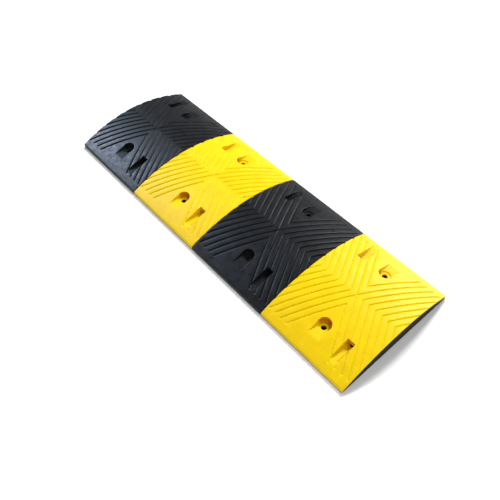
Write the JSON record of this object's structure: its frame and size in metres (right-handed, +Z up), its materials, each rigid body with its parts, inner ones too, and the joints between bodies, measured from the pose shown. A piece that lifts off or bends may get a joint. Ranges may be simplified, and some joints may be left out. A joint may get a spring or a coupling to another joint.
{
  "type": "rubber speed bump",
  "caption": "Bolt-down modular rubber speed bump: arched black and yellow ribbed modules in line, with sunk bolt pockets and reflector pockets.",
  "frame": {"origin": "middle of the footprint on the road surface", "axes": "+X along the bump towards its yellow end, +Y across it, +Z up from the road"},
  "size_m": [1, 0.35, 0.05],
  "materials": {
    "black_rubber": "matt moulded rubber",
    "yellow_rubber": "satin moulded rubber",
    "zinc_steel": "zinc plated"
  },
  "bodies": {
    "root": {"black_module_1": "black_rubber", "washer_1_front": "zinc_steel", "washer_1_back": "zinc_steel", "yellow_module_2_base": "black_rubber", "yellow_module_2_skin": "yellow_rubber", "washer_2_front": "zinc_steel", "washer_2_back": "zinc_steel", "black_module_3": "black_rubber", "washer_3_front": "zinc_steel", "washer_3_back": "zinc_steel", "yellow_module_4_base": "black_rubber", "yellow_module_4_skin": "yellow_rubber", "washer_4_front": "zinc_steel", "washer_4_back": "zinc_steel", "pin_joint_1_front": "zinc_steel", "pin_joint_1_back": "zinc_steel", "pin_joint_2_front": "zinc_steel", "pin_joint_2_back": "zinc_steel", "pin_joint_3_front": "zinc_steel", "pin_joint_3_back": "zinc_steel"}
  },
  "joints": []
}
